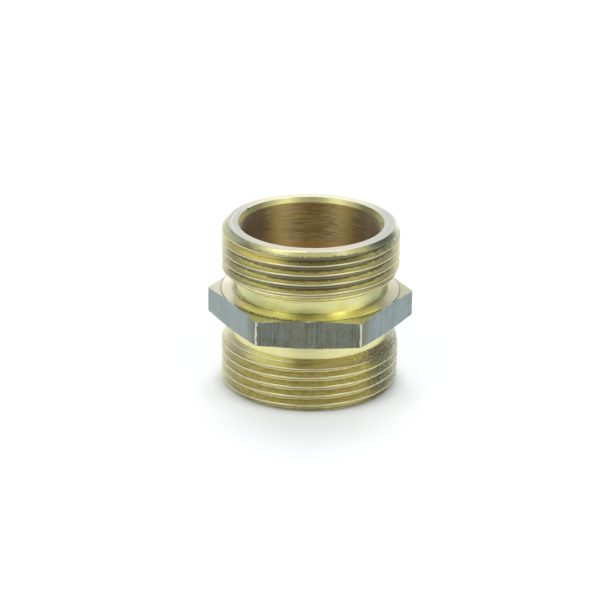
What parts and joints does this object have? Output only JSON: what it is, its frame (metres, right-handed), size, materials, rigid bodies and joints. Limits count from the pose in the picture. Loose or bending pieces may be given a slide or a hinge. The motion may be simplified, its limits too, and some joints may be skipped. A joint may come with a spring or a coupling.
{
  "type": "hex nipple",
  "caption": "One-piece brass hex nipple: short male parallel pipe threads above and below a chamfered hexagon, with relief necks and a smooth through bore.",
  "frame": {"origin": "centre of the lower end face, on the pipe axis", "axes": "+Z along the pipe axis from the lower end to the upper end; two hexagon flats face -Y and +Y, and two corners point along -X and +X"},
  "size_m": [0.0484, 0.042, 0.0396],
  "materials": {
    "brass": "turned, with drawn-bar skin on the hexagon flats"
  },
  "bodies": {
    "root": {"nipple_body": "brass"}
  },
  "joints": []
}
